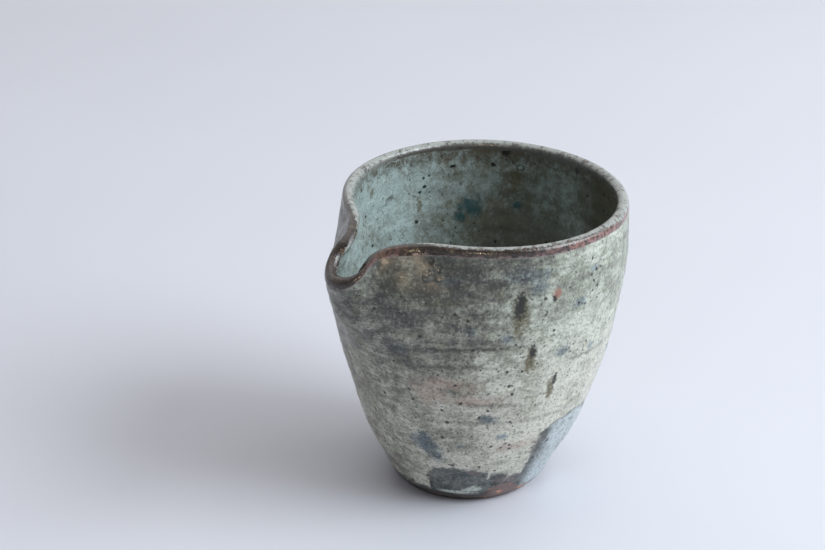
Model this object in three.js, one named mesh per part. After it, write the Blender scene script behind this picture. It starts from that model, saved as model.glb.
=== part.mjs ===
// A wheel-thrown stoneware pouring bowl with a pulled spout, in millimetres, +Z up.
// It stands on its flat foot with the foot's centre at the origin, and the spout points to -Y.
// It is one clay body under coats of glaze: one outside, one inside, and the iron-brown band of the lip.

import * as THREE from "three";

// Driving dimensions, in millimetres unless the name says otherwise.
const HEIGHT = 97; // table to the top of the lip, away from the spout
const WALL = 3.9; // clay and glaze together, which is also the thickness of the rounded lip
const FLOOR = 6.5; // clay and glaze under the inside of the bowl
const GLAZE = 0.5; // every coat
const GLAZE_LINE = 4; // height of the outside glaze's lower edge; the clay below is bare
const FOOT_RADIUS = 21.7; // of the flat that meets the table
const MOUTH_RADIUS = 45.7; // of the lip's outside, where nothing pulls it
const LIP_BAND_OUTSIDE = 1.8; // how far the lip's brown band reaches below the lip's centre
const LIP_BAND_INSIDE = 0.8;
const FLOOR_ROUND = 14; // height over which the inside wall turns into the floor

// The outside of the wall, from the foot to the lip's centre: [share of the way from the foot's radius
// to the mouth's, share of the height].
const OUTSIDE = [
  [0, 0],
  [0.154, 0.03],
  [0.242, 0.08],
  [0.346, 0.13],
  [0.492, 0.2],
  [0.608, 0.28],
  [0.704, 0.36],
  [0.858, 0.5],
  [0.95, 0.65],
  [1.025, 0.8],
  [1.02, 0.92],
  [1, 1],
];
const LEAN = [2.6, 3.4]; // how far the lip's centre has wandered from above the foot's, in x and y
const OVAL = 1.6; // the mouth has gone oval: it is longer by twice this one way than across it
const OVAL_ANGLE_DEG = 62; // from the spout to the mouth's longest way across

// The spout, as the fingers leave it. Depths are measured down from the lip's centre, and widths
// along the round.
const SPOUT_REACH = 14.9; // how far the wall is drawn out beyond the round
const SPOUT_HALF_WIDTH = 8.9;
const SPOUT_WIDENING = 0.5162; // slope at which that half width grows with depth
const SPOUT_DEPTH = 31.5; // where the keel under the spout has shrunk to about a third
const LIP_CURL = 2.9; // the spout's edge curls out by this much more
const LIP_CURL_HALF_WIDTH = 10.4;
const LIP_CURL_DEPTH = 5;
const SPOUT_DIP = 10.2; // drop of the lip at the spout's tip
const DIP_HALF_WIDTH = 7.3;
const DIP_DEPTH = 28;
const THROAT_SQUEEZE = 0.235; // share by which the throat is pressed in from both sides
const THROAT_OFFSET = 10.1; // from the spout's middle
const THROAT_HALF_WIDTH = 3.1;
const THROAT_DEPTH = 26.5;
const PINCH = 0.4; // the shallow dents left by the two fingers that hold the throat
const PINCH_OFFSET = 35; // from the spout's middle
const PINCH_HALF_WIDTH = 15;
const PINCH_DEPTH = 12;

// How square the spout's bumps are: 2 is a soft hill, and more gives a flatter top with steeper sides.
const REACH_SQUARENESS = 2.3;
const DIP_SQUARENESS = 3;
const CURL_SQUARENESS = 4;

// Fineness of the solids.
const AROUND = 96; // points around the bowl
const CROWDING = 0.55; // 0 spreads them evenly; towards 1 they crowd at the spout
const OUTSIDE_STEPS = 11;
const INSIDE_STEPS = 8;
const FLOOR_STEPS = 5;
const LIP_STEPS = 6;
const FOOT_STEPS = 3;

const smoothBump = (x) => Math.exp(-x * x);
const squareBump = (x, squareness) => 2 ** -(Math.abs(x) ** squareness);

const lipHeight = HEIGHT - WALL / 2;
const ovalAngle = THREE.MathUtils.degToRad(OVAL_ANGLE_DEG);

const profile = new THREE.SplineCurve(
  OUTSIDE.map(([out, up]) => {
    const radius = THREE.MathUtils.lerp(FOOT_RADIUS, MOUTH_RADIUS, out);
    return new THREE.Vector2(radius, up * lipHeight);
  }),
);

// Radius of the round wall at a height, found by halving along the profile.
function roundRadius(height) {
  let low = 0;
  let high = 1;
  for (let i = 0; i < 40; i += 1) {
    const half = (low + high) / 2;
    if (profile.getPoint(half).y < height) low = half;
    else high = half;
  }
  return profile.getPoint((low + high) / 2).x;
}

// Angles around the bowl from the spout's middle, crowded where the spout bends the wall.
const angles = Array.from({ length: AROUND }, (_, i) => {
  const even = (2 * Math.PI * i) / AROUND - Math.PI;
  return even - CROWDING * Math.sin(even);
});

// The outside of the wall, glaze included: height 0 at the foot and lipHeight at the lip's centre.
function skin(angle, height) {
  const depth = lipHeight - height;
  const share = height / lipHeight;
  const away = Math.abs(angle) * MOUTH_RADIUS;
  const halfWidth = SPOUT_HALF_WIDTH + SPOUT_WIDENING * depth;
  const drawn = squareBump(away / halfWidth, REACH_SQUARENESS);
  const curled = squareBump(away / LIP_CURL_HALF_WIDTH, CURL_SQUARENESS);
  const dipped = squareBump(away / DIP_HALF_WIDTH, DIP_SQUARENESS);
  const squeezed = smoothBump((away - THROAT_OFFSET) / THROAT_HALF_WIDTH);
  const pinched = smoothBump((away - PINCH_OFFSET) / PINCH_HALF_WIDTH);
  const reach = SPOUT_REACH * smoothBump(depth / SPOUT_DEPTH) * drawn;
  const curl = LIP_CURL * smoothBump(depth / LIP_CURL_DEPTH) * curled;
  const dip = SPOUT_DIP * smoothBump(depth / DIP_DEPTH) * dipped;
  const squeeze = THROAT_SQUEEZE * smoothBump(depth / THROAT_DEPTH) * squeezed;
  const dent = PINCH * smoothBump(depth / PINCH_DEPTH) * pinched;
  const oval = OVAL * share ** 3 * Math.cos(2 * (angle - ovalAngle));
  const radius = roundRadius(height) + reach + curl + oval - dent;
  return new THREE.Vector3(
    radius * Math.sin(angle) * (1 - squeeze) + LEAN[0] * share,
    -radius * Math.cos(angle) + LEAN[1] * share,
    height - dip,
  );
}

// The skin with its outward normal and the direction up the wall.
function skinFrame(angle, height) {
  const step = 0.02;
  const low = Math.max(0, height - step);
  const high = Math.min(lipHeight, height + step);
  const up = skin(angle, high).sub(skin(angle, low)).normalize();
  const turn = step / MOUTH_RADIUS;
  const across = skin(angle + turn, height).sub(skin(angle - turn, height));
  return { point: skin(angle, height), up, outward: across.cross(up).normalize() };
}

// A station turns an angle and a lift, 0 on the clay and GLAZE on the glaze, into a point of the section.
const onOutside = (height) => (angle, lift) => {
  const { point, outward } = skinFrame(angle, height);
  return point.addScaledVector(outward, lift - GLAZE);
};
const onInside = (height) => (angle, lift) => {
  const { point, outward } = skinFrame(angle, height);
  return point.addScaledVector(outward, GLAZE - WALL - lift);
};
const onLip = (turn) => (angle, lift) => {
  const { point, outward, up } = skinFrame(angle, lipHeight);
  const radius = WALL / 2 - GLAZE + lift;
  point.addScaledVector(outward, radius * Math.cos(turn) - WALL / 2);
  return point.addScaledVector(up, radius * Math.sin(turn));
};

const spread = (from, to, count) =>
  Array.from({ length: count + 1 }, (_, i) => THREE.MathUtils.lerp(from, to, i / count));

const bandOutside = lipHeight - LIP_BAND_OUTSIDE;
const bandInside = lipHeight - LIP_BAND_INSIDE;

const coatOutside = spread(GLAZE_LINE, bandOutside, OUTSIDE_STEPS).map(onOutside);
const lipBand = [
  ...[bandOutside, lipHeight].map(onOutside),
  ...spread(0, Math.PI, LIP_STEPS).slice(1, -1).map(onLip),
  ...[lipHeight, bandInside].map(onInside),
];
const coatInside = spread(bandInside, FLOOR + FLOOR_ROUND, INSIDE_STEPS).map(onInside);

// The inside floor: rings that draw in from the wall's last ring and sink to the flat centre.
const clayFloor = FLOOR - GLAZE;
const onFloor = (turn) => (angle, lift) => {
  const edge = coatInside.at(-1)(angle, lift);
  const centre = clayFloor + lift;
  const drawnIn = Math.cos(turn);
  const height = centre + (edge.z - centre) * (1 - Math.sin(turn));
  return new THREE.Vector3(edge.x * drawnIn, edge.y * drawnIn, height);
};
const floorRings = spread(0, Math.PI / 2, FLOOR_STEPS).slice(1, -1).map(onFloor);

// A closed surface through rings of points, the last joined to the first. A ring may be one point.
// The quads on one side of the spout are cut along one diagonal, and those on the other side along the
// other. From the ring numbered backFrom on this changes over, so that a coat's underside, which runs
// back along the clay, is cut exactly as the clay is.
function closedSurface(rings, backFrom) {
  const positions = [];
  const index = [];
  const starts = rings.map((ring) => {
    const start = positions.length / 3;
    ring.forEach((point) => positions.push(point.x, point.y, point.z));
    return start;
  });
  rings.forEach((ring, k) => {
    const next = (k + 1) % rings.length;
    const [here, there] = [ring.length, rings[next].length];
    if (here === 1 && there === 1) return;
    for (let i = 0; i < AROUND; i += 1) {
      const j = (i + 1) % AROUND;
      const a = starts[k] + (i % here);
      const b = starts[k] + (j % here);
      const c = starts[next] + (j % there);
      const d = starts[next] + (i % there);
      if (here === 1) index.push(a, c, d);
      else if (there === 1) index.push(a, b, d);
      else if (k < backFrom === i < AROUND / 2) index.push(a, b, d, b, c, d);
      else index.push(a, b, c, a, c, d);
    }
  });
  const geometry = new THREE.BufferGeometry();
  geometry.setAttribute("position", new THREE.Float32BufferAttribute(positions, 3));
  geometry.setIndex(index);
  geometry.computeVertexNormals();
  return geometry;
}

const ringAt = (station, lift) => angles.map((angle) => station(angle, lift));
const centreAt = (height) => [new THREE.Vector3(0, 0, height)];

const bowl = new THREE.Group();
bowl.name = "spouted_bowl";

function addPiece(name, rings, backFrom, look) {
  const material = new THREE.MeshStandardMaterial({ metalness: 0, ...look });
  const mesh = new THREE.Mesh(closedSurface(rings, backFrom), material);
  mesh.name = name;
  bowl.add(mesh);
}

// The clay: foot, outside, lip, inside and floor, thrown in one piece.
function addClay() {
  const section = [
    ...spread(0, GLAZE_LINE, FOOT_STEPS).slice(0, -1).map(onOutside),
    ...coatOutside,
    ...lipBand.slice(1),
    ...coatInside.slice(1),
    ...floorRings,
  ];
  const rings = section.map((station) => ringAt(station, 0));
  rings[0].forEach((point) => point.setZ(0));
  rings.push(centreAt(clayFloor), centreAt(0));
  addPiece("clay_body", rings, rings.length, { color: 0x5b3a2a, roughness: 0.85 });
}

// A coat lies face to face on the clay: out along its stations at full lift, and back on the clay.
function addCoat(name, stations, middle, look) {
  const top = stations.map((station) => ringAt(station, GLAZE));
  const under = stations.map((station) => ringAt(station, 0)).reverse();
  addPiece(name, [...top, ...middle, ...under], top.length, look);
}

addClay();
addCoat("outer_glaze", coatOutside, [], { color: 0x9aa193, roughness: 0.3 });
addCoat("lip_glaze", lipBand, [], { color: 0x4a2c20, roughness: 0.25 });
const insideStations = [...coatInside, ...floorRings];
const insideCentre = [centreAt(FLOOR), centreAt(clayFloor)];
addCoat("inner_glaze", insideStations, insideCentre, { color: 0x9fb3a6, roughness: 0.25 });

export default bowl;
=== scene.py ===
"""A spouted stoneware bowl, glazed inside and out, on a pale table in soft daylight.

Lengths are in millimetres until a mesh is made, and MM turns them into metres. Angles run around the
bowl from the middle of the spout, positive towards +X. A lift is the height above the bare clay.
"""

import math

import bpy
import numpy as np
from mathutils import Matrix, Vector


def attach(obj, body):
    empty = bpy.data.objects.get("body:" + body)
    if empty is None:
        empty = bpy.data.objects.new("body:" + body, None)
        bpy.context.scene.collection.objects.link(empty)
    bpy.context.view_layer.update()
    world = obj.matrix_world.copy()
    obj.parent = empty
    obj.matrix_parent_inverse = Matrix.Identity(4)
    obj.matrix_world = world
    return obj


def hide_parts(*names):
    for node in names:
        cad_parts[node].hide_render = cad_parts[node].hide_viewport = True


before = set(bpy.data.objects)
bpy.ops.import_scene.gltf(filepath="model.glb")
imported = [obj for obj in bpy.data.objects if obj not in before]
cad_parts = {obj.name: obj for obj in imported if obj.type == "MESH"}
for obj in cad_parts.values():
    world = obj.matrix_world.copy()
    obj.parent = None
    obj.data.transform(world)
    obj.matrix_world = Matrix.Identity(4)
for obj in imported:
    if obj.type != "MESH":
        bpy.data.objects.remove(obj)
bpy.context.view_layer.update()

MM = 0.001

# The bowl's shape, as the solids have it.
HEIGHT = 97
WALL = 3.9
FLOOR = 6.5
GLAZE = 0.5
GLAZE_LINE = 4
FOOT_RADIUS = 21.7
MOUTH_RADIUS = 45.7
LIP_BAND_OUTSIDE = 1.8
LIP_BAND_INSIDE = 0.8
FLOOR_ROUND = 14
# The wall's profile: share of the way out from foot to mouth, and share of the height.
OUTSIDE = [
    (0, 0), (0.154, 0.03), (0.242, 0.08), (0.346, 0.13),
    (0.492, 0.2), (0.608, 0.28), (0.704, 0.36), (0.858, 0.5),
    (0.95, 0.65), (1.025, 0.8), (1.02, 0.92), (1, 1),
]
LEAN = (2.6, 3.4)
OVAL = 1.6
OVAL_ANGLE = math.radians(62)
SPOUT_REACH = 14.9
SPOUT_HALF_WIDTH = 8.9
SPOUT_WIDENING = 0.5162  # slope at which the spout's half width grows with depth
SPOUT_DEPTH = 31.5
LIP_CURL = 2.9
LIP_CURL_HALF_WIDTH = 10.4
LIP_CURL_DEPTH = 5
SPOUT_DIP = 10.2
DIP_HALF_WIDTH = 7.3
DIP_DEPTH = 28
THROAT_SQUEEZE = 0.235
THROAT_OFFSET = 10.1
THROAT_HALF_WIDTH = 3.1
THROAT_DEPTH = 26.5
PINCH = 0.4
PINCH_OFFSET = 35
PINCH_HALF_WIDTH = 15
PINCH_DEPTH = 12
REACH_SQUARENESS = 2.3
DIP_SQUARENESS = 3
CURL_SQUARENESS = 4

LIP_HEIGHT = HEIGHT - WALL / 2

# Fineness of the meshes.
AROUND = 480
CROWDING = 0.4  # how much closer the points are at the spout
OUTER_ROWS = 230
OUTER_CROWDING = 1.25
INNER_ROWS = 140
FLOOR_ROWS = 50
LIP_EDGE_ROWS = 7
LIP_ROUND_ROWS = 20
LIP_INSIDE_ROWS = 4
LIP_UNDER_ROWS = 2
FOOT_ROUND_ROWS = 6
FOOT_ROWS = 26
BASE_ROWS = 40
HIDDEN_ROWS = 16

EVEN = np.linspace(-np.pi, np.pi, AROUND, endpoint=False)
ANGLES = EVEN - CROWDING * np.sin(EVEN)


# The surface.


def smooth_bump(x):
    """1 in the middle, and down to a third at 1 on either side."""
    return np.exp(-x * x)


def square_bump(x, squareness):
    """1 in the middle, and down to a half at 1 on either side."""
    return 2 ** -(np.abs(x) ** squareness)


def smooth_step(x, low, high):
    """0 below low, 1 above high, with a smooth rise between them."""
    t = np.clip((x - low) / (high - low), 0, 1)
    return t * t * (3 - 2 * t)


def profile_curve(points, per_span=200):
    """A smooth curve through the points, the same one that the solids follow."""
    held = np.array([points[0], *points, points[-1]], float)
    t = np.linspace(0, 1, per_span, endpoint=False)[:, None]
    spans = []
    for p0, p1, p2, p3 in zip(held, held[1:], held[2:], held[3:]):
        leave = (p2 - p0) / 2
        arrive = (p3 - p1) / 2
        cubic = (2 * (p1 - p2) + leave + arrive) * t**3
        spans.append(cubic + (3 * (p2 - p1) - 2 * leave - arrive) * t**2 + leave * t + p1)
    return np.vstack([*spans, held[-1:]])


PROFILE = profile_curve(
    [(FOOT_RADIUS + out * (MOUTH_RADIUS - FOOT_RADIUS), up * LIP_HEIGHT) for out, up in OUTSIDE]
)


def round_radius(height):
    """The wall's radius before the spout is pulled out of it."""
    return np.interp(height, PROFILE[:, 1], PROFILE[:, 0])


def skin(angle, height):
    """The outside of the wall, glaze included, with the spout pulled out of it."""
    depth = LIP_HEIGHT - height
    share = height / LIP_HEIGHT
    away = np.abs(angle) * MOUTH_RADIUS
    half_width = SPOUT_HALF_WIDTH + SPOUT_WIDENING * depth
    drawn = square_bump(away / half_width, REACH_SQUARENESS)
    curled = square_bump(away / LIP_CURL_HALF_WIDTH, CURL_SQUARENESS)
    dipped = square_bump(away / DIP_HALF_WIDTH, DIP_SQUARENESS)
    squeezed = smooth_bump((away - THROAT_OFFSET) / THROAT_HALF_WIDTH)
    pinched = smooth_bump((away - PINCH_OFFSET) / PINCH_HALF_WIDTH)
    reach = SPOUT_REACH * smooth_bump(depth / SPOUT_DEPTH) * drawn
    curl = LIP_CURL * smooth_bump(depth / LIP_CURL_DEPTH) * curled
    dip = SPOUT_DIP * smooth_bump(depth / DIP_DEPTH) * dipped
    squeeze = THROAT_SQUEEZE * smooth_bump(depth / THROAT_DEPTH) * squeezed
    dent = PINCH * smooth_bump(depth / PINCH_DEPTH) * pinched
    oval = OVAL * share**3 * np.cos(2 * (angle - OVAL_ANGLE))
    radius = round_radius(height) + reach + curl + oval - dent
    x = radius * np.sin(angle) * (1 - squeeze) + LEAN[0] * share
    y = -radius * np.cos(angle) + LEAN[1] * share
    return np.stack([x, y, height - dip], -1)


NORMAL_STEP = 0.02  # between the points that a normal is taken from


def unit(vectors):
    return vectors / np.linalg.norm(vectors, axis=-1, keepdims=True)


def skin_frame(angle, height):
    """The skin, the direction up the wall and the outward normal."""
    turn = NORMAL_STEP / MOUTH_RADIUS
    low = np.maximum(0, height - NORMAL_STEP)
    high = np.minimum(LIP_HEIGHT, height + NORMAL_STEP)
    up = unit(skin(angle, high) - skin(angle, low))
    across = skin(angle + turn, height) - skin(angle - turn, height)
    return skin(angle, height), up, unit(np.cross(across, up))


def moved(point, direction, distance):
    return point + direction * np.broadcast_to(distance, point.shape[:-1])[..., None]


def on_outside(angle, height, lift):
    """A point on the wall's outside, at a lift above the clay."""
    point, _, outward = skin_frame(angle, height)
    return moved(point, outward, lift - GLAZE)


def on_inside(angle, height, lift):
    """A point on the wall's inside, at a lift above the clay."""
    point, _, outward = skin_frame(angle, height)
    return moved(point, outward, GLAZE - WALL - lift)


def on_lip(angle, turn, lift):
    """A point on the round of the lip. The turn runs over it from outside, at 0, to inside, at pi."""
    point, up, outward = skin_frame(angle, np.full(angle.shape, LIP_HEIGHT))
    radius = WALL / 2 - GLAZE + lift
    point = moved(point, outward, radius * np.cos(turn) - WALL / 2)
    return moved(point, up, radius * np.sin(turn))


# What the hand left in it.


WANDER_SCALE = 0.6  # brings most of a wandering line within -1 to 1
RIPPLE_SCALE = 1.4


def wander(angle, seed, most_turns=6):
    """A smooth random line around the bowl, mostly between -1 and 1."""
    rng = np.random.default_rng(seed)
    total = np.zeros_like(angle)
    for turns in range(1, most_turns + 1):
        total += rng.normal() / turns**0.5 * np.cos(turns * angle + rng.uniform(0, 2 * np.pi))
    return total * WANDER_SCALE


def ripple(angle, height, seed, waves=9, pitch=16):
    """Smooth random unevenness over the wall, mostly between -1 and 1."""
    rng = np.random.default_rng(seed)
    total = np.zeros(np.broadcast(angle, height).shape)
    for _ in range(waves):
        turns = rng.integers(1, 9)
        climb = rng.uniform(-2, 2) * np.pi / pitch
        total += rng.normal() * np.cos(turns * angle + climb * height + rng.uniform(0, 2 * np.pi))
    return total / waves**0.5 / RIPPLE_SCALE


RING_SWAY = 1.3  # how far a ridge strays from its spiral, in radians of its pitch
RING_SWAY_CLIMB = 0.4  # how fast that changes up the wall
RING_FADE = 0.35


def throwing_rings(angle, height, pitch, seed):
    """Low ridges left by the fingers, which climb by one pitch in a turn and fade in and out."""
    climbed = height - pitch * angle / (2 * np.pi)
    phase = 2 * np.pi * climbed / pitch + RING_SWAY * ripple(angle, height * RING_SWAY_CLIMB, seed)
    return np.cos(phase) * (1 - RING_FADE + RING_FADE * ripple(angle, height, seed + 1))


# Dark throwing lines: [height, first angle, last angle, climb per degree, depth of the groove].
LINES = [
    (64.6, 20, 72, 0.0, 0.16), (59.2, 21, 52, 0.03, 0.1), (44.3, 33, 70, -0.03, 0.12),
    (75.6, 14, 74, -0.03, 0.08), (69.4, -20, 30, 0.05, 0.08), (51.6, -12, 28, 0.02, 0.08),
    (36.2, 20, 96, -0.01, 0.08), (84.0, 60, 110, 0.0, 0.05), (56.0, 76, 150, 0.02, 0.1),
    (47.5, 110, 200, 0.01, 0.12), (67.5, 130, 215, -0.01, 0.1), (38.5, 180, 262, 0.02, 0.1),
    (73.5, 200, 300, 0.01, 0.12), (60.5, 240, 330, 0.02, 0.08), (29.5, 230, 320, 0.0, 0.08),
]
DEEPEST_LINE = 0.16
LINE_GROOVE = 0.45  # half width of a line's groove
LINE_STAIN = 0.75  # half width of the stain along it
LINE_END = 12  # degrees over which a line fades at its ends
LINE_WANDER = 0.5


def around(angle, middle_deg):
    """The angle from a place on the bowl, in degrees from -180 to 180."""
    return (np.degrees(angle) - middle_deg + 180) % 360 - 180


def near(angle, middle_deg, full_deg, none_deg):
    """1 within full_deg of a place around the bowl, falling to 0 at none_deg from it."""
    return smooth_step(-np.abs(around(angle, middle_deg)), -none_deg, -full_deg)


def lines_at(angle, height, half_width):
    """How deep the grooves of the throwing lines are, as a share of the deepest."""
    total = np.zeros(np.broadcast(angle, height).shape)
    for at, first, last, climb, depth in LINES:
        middle = (first + last) / 2
        half_length = (last - first) / 2
        window = near(angle, middle, half_length - LINE_END, half_length)
        off = height - at - climb * around(angle, middle) - LINE_WANDER * wander(angle, int(at))
        total = np.maximum(total, window * smooth_bump(off / half_width) * depth / DEEPEST_LINE)
    return total


# Finger marks where the slip was wiped off above the foot: [angle, half width, top, sharpness].
FINGERS = [
    (35, 16.2, 16.9, 3.0), (47, 11, 16.2, 2.4), (62.5, 8, 13.4, 2.2),
    (76, 8, 11.4, 3.0), (101, 21.8, 32.8, 3.4), (152, 22, 19, 2.2),
    (186, 15, 13.5, 2.0), (218, 20, 21, 2.3), (254, 18, 15, 2.1),
    (290, 21, 22, 2.4), (322, 14, 11, 2.0),
]
SLIP_LOWEST = 5.4
SLIP_WANDER = 0.3
SLIP_RADIUS = FOOT_RADIUS + 3  # the wall's radius, near enough, where the slip ends
SLIP_MARK_REACH = 6


def slip_edge(angle):
    """Height of the slip's lower edge: arcs of fingertips, with points of slip between them."""
    edge = np.full(angle.shape, float(SLIP_LOWEST))
    for middle, half_width, top, sharpness in FINGERS:
        off = np.clip(np.abs(around(angle, middle)) / half_width, 0, 1)
        arc = (1 - off**sharpness) ** (1 / sharpness)
        edge = np.maximum(edge, SLIP_LOWEST + (top - SLIP_LOWEST) * arc)
    return edge + SLIP_WANDER * wander(angle, seed=5, most_turns=24)


def above_slip_edge(angle, height):
    """Distance from the slip's lower edge, also where the edge runs up the wall."""
    turn = 0.01
    steep = (slip_edge(angle + turn) - slip_edge(angle - turn)) / (2 * turn * SLIP_RADIUS)
    away = (height - slip_edge(angle)) / np.hypot(1, steep)
    return np.clip(away, -SLIP_MARK_REACH, SLIP_MARK_REACH)


# Where the glaze ends above the foot, higher over patches that stayed bare: [angle, half width, rise].
BARE_PATCHES = [(69, 14.5, 4.0), (200, 16, 3), (282, 12, 2.2)]
GLAZE_EDGE_WANDER = 0.35


def glaze_edge(angle):
    """Height of the outer glaze's lower edge."""
    edge = GLAZE_LINE + GLAZE_EDGE_WANDER * wander(angle, seed=11, most_turns=14)
    for middle, half_width, rise in BARE_PATCHES:
        off = np.clip(np.abs(around(angle, middle)) / half_width, 0, 1)
        edge = edge + rise * (1 - off**2.2)
    return edge


LIP_BAND_NARROW = 0.8  # how far the lip's brown reaches below its centre away from the spout
LIP_OUTSIDE_WANDER = 0.14
LIP_INSIDE_WANDER = 0.2


def lip_edge_outside(angle):
    """Height at which the lip's brown ends on the outside, lowest at the spout."""
    widened = near(angle, 2, 14, 34)
    drop = LIP_BAND_NARROW + (LIP_BAND_OUTSIDE - LIP_BAND_NARROW) * widened
    return LIP_HEIGHT - drop - LIP_OUTSIDE_WANDER * wander(angle, seed=21, most_turns=24)


def lip_edge_inside(angle):
    """Height at which the lip's brown ends on the inside."""
    drop = LIP_BAND_INSIDE + LIP_INSIDE_WANDER * wander(angle, seed=22, most_turns=20)
    return LIP_HEIGHT - drop


INSET = 0.13  # keeps the uneven glaze within the even solid
SLIP_THICKNESS = 0.12
RINGS_OUTSIDE = 0.07
RINGS_OUTSIDE_PITCH = 5.2
RINGS_INSIDE = 0.12
RINGS_INSIDE_PITCH = 6.4
ROUGHNESS = 0.05
WALL_INSET = 0.06
CALM_DEPTH = 6  # the wall is even over this much below the lip's centre
BEAD = 0.11  # the ridge of glaze along the lip's lower edge
BEAD_HALF_WIDTH = 0.45
BEAD_UNEVEN = 0.45


def outside_lift(angle, height):
    """Lift of the outer glaze: rings, grooves, the slip's thickness and the ridge below the lip."""
    rings = RINGS_OUTSIDE * throwing_rings(angle, height, RINGS_OUTSIDE_PITCH, seed=31)
    rough = ROUGHNESS * ripple(angle, height, seed=33, waves=14, pitch=9)
    grooves = DEEPEST_LINE * lines_at(angle, height, LINE_GROOVE)
    slip = SLIP_THICKNESS * smooth_step(height - slip_edge(angle), -0.5, 0.4) - SLIP_THICKNESS
    calm = smooth_step(LIP_HEIGHT - height, 0, CALM_DEPTH)
    bead = BEAD * smooth_bump((height - lip_edge_outside(angle)) / BEAD_HALF_WIDTH)
    bead = bead * (1 - BEAD_UNEVEN + BEAD_UNEVEN * wander(angle, seed=23, most_turns=40))
    return GLAZE - INSET + calm * (rings + rough - grooves - WALL_INSET) + slip + bead


def inside_lift(angle, height):
    """Lift of the inner glaze."""
    rings = RINGS_INSIDE * throwing_rings(angle, height, RINGS_INSIDE_PITCH, seed=41)
    rough = ROUGHNESS * ripple(angle, height, seed=43, waves=14, pitch=11)
    calm = smooth_step(LIP_HEIGHT - height, 0, CALM_DEPTH - 1)
    return GLAZE - INSET + calm * (rings + rough)


# Meshes.


def ring_stack(points, *marks):
    """Rings of points with a value of each mark at each point."""
    shape = points.shape[:-1]
    columns = [np.broadcast_to(mark, shape)[..., None] for mark in marks]
    return list(np.concatenate([points, *columns], -1))


def centre_ring(height, marks):
    """A ring that is one point on the bowl's middle line."""
    return np.array([[0, 0, height, *marks]], float)


def add_object(name, data):
    thing = bpy.data.objects.new(name, data)
    bpy.context.scene.collection.objects.link(thing)
    return thing


def add_mesh(name, rings, mark_names, sharp_deg=50):
    """A closed surface through rings, the last joined to the first. A ring may be a single point."""
    table = np.vstack(rings)
    starts = np.cumsum([0] + [len(ring) for ring in rings])
    here = np.arange(AROUND)
    corners = [start + (here if len(ring) > 1 else 0 * here) for start, ring in zip(starts, rings)]
    faces = []
    for k, ring in enumerate(rings):
        following = (k + 1) % len(rings)
        a = corners[k]
        d = corners[following]
        quad = [a, np.roll(a, -1), np.roll(d, -1), d]
        single = len(rings[following]) == 1
        if len(ring) == 1 and single:
            continue
        if len(ring) == 1:
            quad.pop(1)
        elif single:
            quad.pop(2)
        faces += np.stack(quad, -1).tolist()
    mesh = bpy.data.meshes.new(name)
    mesh.from_pydata((table[:, :3] * MM).tolist(), [], faces)
    for column, mark in enumerate(mark_names):
        attribute = mesh.attributes.new(mark, "FLOAT", "POINT")
        attribute.data.foreach_set("value", table[:, 3 + column].astype(np.float32))
    mesh.shade_smooth()
    mesh.set_sharp_from_angle(angle=math.radians(sharp_deg))
    return add_object(name, mesh)


def dress(piece, node, material):
    """Gives a piece its material, hangs it on the root body and hides the solid that it stands for."""
    piece.data.materials.append(material)
    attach(piece, "root")
    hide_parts(node)


def rows_between(low, high, count, crowding=1.0):
    """Rows of heights from one line to another, with their angles."""
    share = np.linspace(0, 1, count + 1)[:, None] ** crowding
    height = low + (high - low) * share + 0 * ANGLES
    return np.broadcast_to(ANGLES, height.shape), height


def hidden_rings(side, low, high, count, lift, marks):
    """Rings at one lift from one line to another, where another piece lies over them."""
    angle, height = rows_between(low, high, count)
    return ring_stack(side(angle, height, lift), *marks(angle, height))


def lip_turns(first, last, count):
    """Turns over the round of the lip without its two ends, with their angles."""
    turn = np.linspace(first, last, count + 1)[1:-1, None] + 0 * ANGLES
    return np.broadcast_to(ANGLES, turn.shape), turn


# Marks in the glaze, listed where the camera sees them and by chance elsewhere. A spot is its angle,
# height, half width and half height.


NOT_THERE = -2.0  # the value of a spot's mark far from any spot


def spots_at(angle, height, spots):
    """1 in the middle of the nearest spot, 0 at its edge and less outside it."""
    nearest = np.full(np.broadcast(angle, height).shape, NOT_THERE)
    for middle, at, half_width, half_height in spots:
        across = np.radians(around(angle, middle)) * round_radius(at) / half_width
        along = (height - at) / half_height
        nearest = np.maximum(nearest, 1 - np.hypot(across, along))
    return nearest


def chance_spots(first, last, low, high, sizes, count, seed):
    """Spots placed by chance between two angles and two heights."""
    rng = np.random.default_rng(seed)
    spots = []
    for _ in range(count):
        half_width = rng.uniform(*sizes)
        half_height = half_width * rng.uniform(0.6, 1.1)
        spots.append((rng.uniform(first, last), rng.uniform(low, high), half_width, half_height))
    return spots


HIDDEN_SIDE = (112, 322)  # angles that the camera doesn't see

IRON_SPOTS = [
    (59.2, 78.4, 2.5, 5.6), (59.6, 80.6, 1.6, 3.0), (66.5, 62.2, 1.6, 3.4),
    (78.6, 50.4, 1.0, 2.9), (72.2, 79.8, 1.0, 1.5), (84, 28.8, 1.1, 1.0),
    (35.2, 18.4, 1.5, 0.6), (36.6, 19.2, 0.6, 0.4), (59.8, 26.2, 0.8, 0.7),
    (64.4, 25.2, 0.9, 0.6), (26.5, 91.8, 1.0, 1.5), (78.6, 16.2, 0.6, 0.7),
    (4.5, 6.2, 1.2, 0.9), (62.6, 8.4, 1.8, 1.5),
    *chance_spots(*HIDDEN_SIDE, 24, 84, (0.6, 1.6), count=9, seed=51),
]
IRON_CLOUDS = [
    (20.5, 75.5, 3.6, 3.4), (27.2, 84, 3.8, 2.8), (50, 86, 5.0, 2.4),
    (36, 90, 8.0, 2.6), (82.6, 27, 2.2, 3.4), (79.8, 23.4, 2.0, 3.2),
    (62.5, 12.2, 3.4, 1.4),
    *chance_spots(*HIDDEN_SIDE, 30, 88, (1.8, 3.6), count=7, seed=52),
]
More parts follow.
